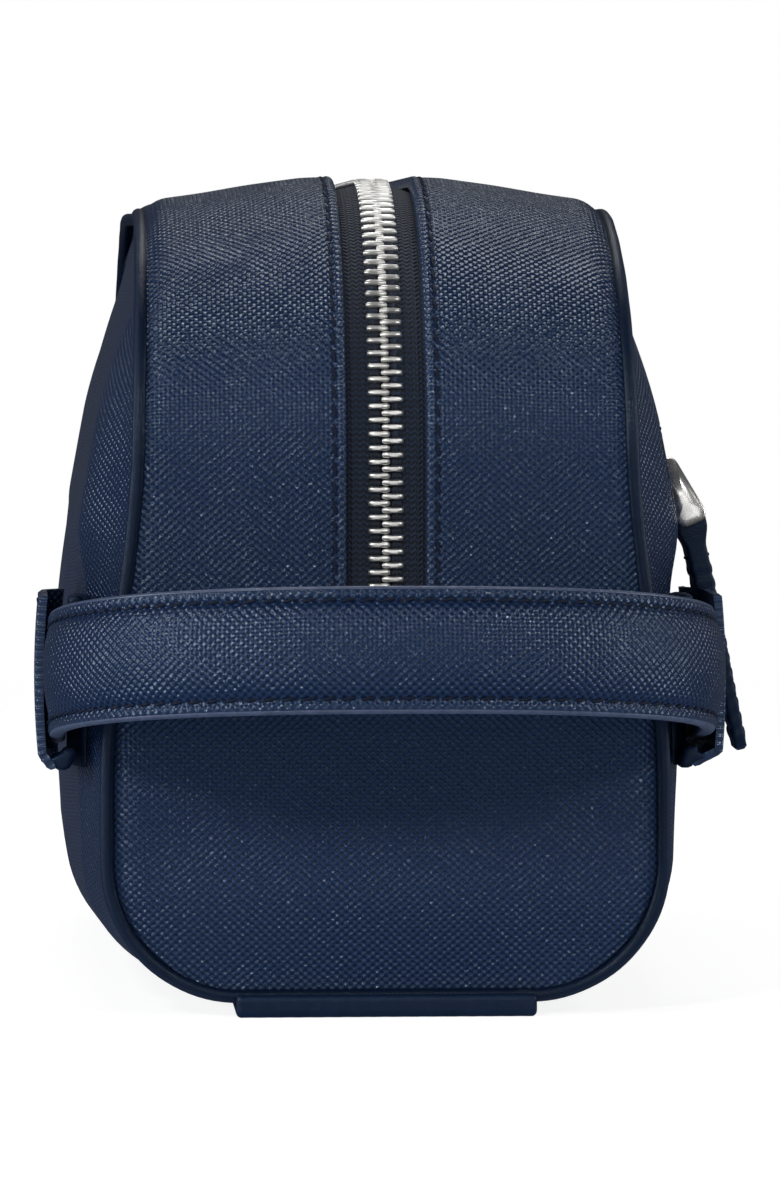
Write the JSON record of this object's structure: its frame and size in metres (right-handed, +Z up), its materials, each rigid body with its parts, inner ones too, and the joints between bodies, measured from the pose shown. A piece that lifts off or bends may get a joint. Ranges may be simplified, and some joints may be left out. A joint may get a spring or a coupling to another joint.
{
  "type": "shaving kit bag",
  "caption": "Padded leather wash bag with a zip over the top, a zipped outside pocket, piped seams, a base strip and a strap handle bowed across one end.",
  "frame": {"origin": "centre of the flat underside of the base strip", "axes": "+Z up, +Y along the bag's length away from the handle end, +X towards the side with the outside pocket"},
  "size_m": [0.1509, 0.3047, 0.171],
  "materials": {
    "saffiano": "cross-hatched coated leather, satin sheen",
    "smooth_leather": "smooth leather, soft sheen",
    "zip_tape": "woven zip tape, matt",
    "polished_metal": "polished silver-coloured metal",
    "lining": "plain woven lining",
    "cord_core": "twisted cord",
    "board": "fibre board",
    "padding": "felt padding"
  },
  "bodies": {
    "bag": {"front_panel": "saffiano", "back_panel": "saffiano", "end_panel_near": "saffiano", "end_panel_far": "saffiano", "gusset_right": "saffiano", "gusset_left": "saffiano", "piping_cover": "smooth_leather", "piping_cord": "cord_core", "base_strip": "smooth_leather", "base_board": "board", "lining_right": "lining", "lining_left": "lining", "lining_end_near": "lining", "lining_end_far": "lining", "lining_gusset_right": "lining", "lining_gusset_left": "lining", "pocket_bag": "lining", "zip_tape_right": "zip_tape", "zip_tape_left": "zip_tape", "pocket_tape_upper": "zip_tape", "pocket_tape_lower": "zip_tape", "zip_teeth_right": "polished_metal", "zip_teeth_left": "polished_metal", "pocket_teeth_upper": "polished_metal", "pocket_teeth_lower": "polished_metal", "zip_stop_near": "polished_metal", "zip_stop_far": "polished_metal", "pocket_stop_near": "polished_metal", "pocket_stop_far": "polished_metal", "anchor_patch_right": "saffiano", "anchor_patch_left": "saffiano"},
    "main_slider": {"main_slider_body": "polished_metal", "main_slider_bridge": "polished_metal"},
    "main_clip": {"main_pull_clip": "polished_metal"},
    "main_tab": {"main_pull_tab": "saffiano"},
    "pocket_slider": {"pocket_slider_body": "polished_metal", "pocket_slider_bridge": "polished_metal"},
    "pocket_clip": {"pocket_pull_clip": "polished_metal"},
    "pocket_tab": {"pocket_pull_tab": "saffiano"},
    "handle": {"handle_outer": "saffiano", "handle_core": "padding", "handle_backing": "smooth_leather"}
  },
  "joints": [
    {"name": "main_zip", "type": "slide", "parent": "bag", "child": "main_slider", "axis": [0, 0, 1], "range_m": [0, 0.029]},
    {"name": "main_clip_swing", "type": "hinge", "parent": "main_slider", "child": "main_clip", "pos_m": [0, 0.129, 0.0765], "axis": [1, 0, 0], "range_deg": [0, 110]},
    {"name": "main_tab_swing", "type": "hinge", "parent": "main_clip", "child": "main_tab", "pos_m": [0, 0.13163, 0.06633], "axis": [1, 0, 0], "range_deg": [0, 60]},
    {"name": "pocket_zip", "type": "slide", "parent": "bag", "child": "pocket_slider", "axis": [0, 1, 0], "range_m": [0, 0.152]},
    {"name": "pocket_clip_swing", "type": "hinge", "parent": "pocket_slider", "child": "pocket_clip", "pos_m": [0.06166, -0.076, 0.1095], "axis": [0, -1, 0], "range_deg": [0, 110]},
    {"name": "pocket_tab_swing", "type": "hinge", "parent": "pocket_clip", "child": "pocket_tab", "pos_m": [0.06594, -0.076, 0.09991], "axis": [0, -1, 0], "range_deg": [0, 60]},
    {"name": "handle_swing", "type": "hinge", "parent": "bag", "child": "handle", "pos_m": [0, -0.097, 0.0668], "axis": [1, 0, 0], "range_deg": [-10, 26], "stiffness_Nm_per_rad": 0.15}
  ]
}
